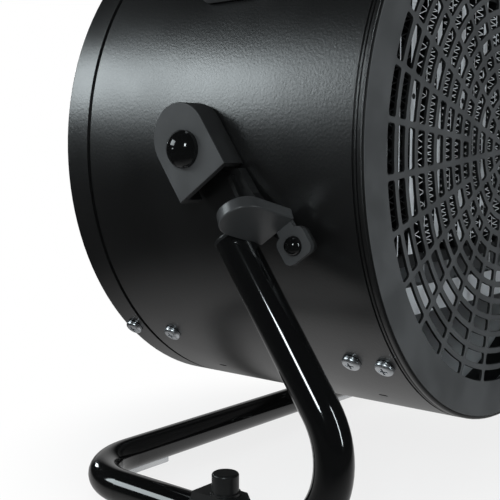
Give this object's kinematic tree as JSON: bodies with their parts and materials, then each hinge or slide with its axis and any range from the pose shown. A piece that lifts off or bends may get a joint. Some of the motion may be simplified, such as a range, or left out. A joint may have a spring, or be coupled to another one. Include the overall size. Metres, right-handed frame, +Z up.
{
  "type": "ceramic space heater",
  "caption": "Round drum fan heater with a ceramic element behind a spoked ring grille, tilting on a bent tube floor stand with a carry strap on top.",
  "frame": {"origin": "on the floor, under the middle of the overall box", "axes": "+Z up, the air outlet faces -Y, +X runs along the tilt axis"},
  "size_m": [0.2474, 0.1501, 0.2687],
  "materials": {
    "drum_paint": "satin black with a fine texture",
    "grille_paint": "satin dark grey",
    "tube_paint": "gloss black",
    "arm_paint": "satin black",
    "bolt_black": "gloss black",
    "moulded_plastic": "matte dark grey",
    "knob_plastic": "matte black",
    "zinc_steel": "bright zinc plate",
    "bright_steel": "ground steel",
    "motor_iron": "laminated iron",
    "bearing_brass": "sintered",
    "element_aluminium": "dull aluminium",
    "heat_plastic": "heat-resistant moulding",
    "fan_plastic": "moulded",
    "bush_nylon": "natural nylon",
    "rubber": "matte"
  },
  "bodies": {
    "stand": {"stand_tube": "tube_paint", "tube_plugs": "moulded_plastic", "foot_saddles": "moulded_plastic", "foot_posts": "moulded_plastic", "rear_pads": "rubber", "tilt_arm_left": "arm_paint", "tilt_arm_right": "arm_paint", "stand_lug_left": "arm_paint", "stand_lug_right": "arm_paint", "arm_screws": "bolt_black", "pivot_cover_left": "moulded_plastic", "pivot_cover_right": "moulded_plastic", "pivot_bolt_left": "bolt_black", "pivot_bolt_right": "bolt_black", "pivot_nut_left": "zinc_steel", "pivot_nut_right": "zinc_steel"},
    "heater": {"drum_casing": "drum_paint", "front_grille": "grille_paint", "element_frame": "zinc_steel", "ptc_bars": "element_aluminium", "fin_dividers": "element_aluminium", "fin_columns": "element_aluminium", "element_holder_bottom": "heat_plastic", "element_holder_top": "heat_plastic", "ptc_terminals": "bearing_brass", "thermal_cutout": "zinc_steel", "motor_front_plate": "zinc_steel", "motor_can": "zinc_steel", "motor_stator": "motor_iron", "motor_bearings": "bearing_brass", "motor_spider": "zinc_steel", "rear_cover": "drum_paint", "rear_guard": "moulded_plastic", "rotary_switch": "heat_plastic", "thermostat_body": "heat_plastic", "cord_gland": "rubber", "terminal_block": "heat_plastic", "carry_handle": "moulded_plastic", "bezel_screws": "zinc_steel", "frame_screws": "zinc_steel", "spider_screws": "zinc_steel", "cover_screws": "zinc_steel", "handle_screws": "zinc_steel", "pivot_bush_left": "bush_nylon", "pivot_bush_right": "bush_nylon"},
    "fan_rotor": {"fan": "fan_plastic", "motor_shaft": "bright_steel", "motor_rotor": "motor_iron"},
    "mode_control": {"mode_knob": "knob_plastic", "mode_spindle": "bright_steel"},
    "thermostat_control": {"thermostat_knob": "knob_plastic", "thermostat_spindle": "bright_steel"}
  },
  "joints": [
    {"name": "tilt", "type": "hinge", "parent": "stand", "child": "heater", "pos_m": [0, -0.01023, 0.1287], "axis": [-1, 0, 0], "range_deg": [-15, 45]},
    {"name": "fan_spin", "type": "hinge", "parent": "heater", "child": "fan_rotor", "pos_m": [0, -0.01023, 0.1287], "axis": [0, 1, 0], "continuous": true},
    {"name": "mode_knob_turn", "type": "hinge", "parent": "heater", "child": "mode_control", "pos_m": [-0.031, 0.06007, 0.0667], "axis": [0, -1, 0], "range_deg": [0, 135]},
    {"name": "thermostat_knob_turn", "type": "hinge", "parent": "heater", "child": "thermostat_control", "pos_m": [0.031, 0.06007, 0.0667], "axis": [0, -1, 0], "range_deg": [-135, 135]}
  ]
}
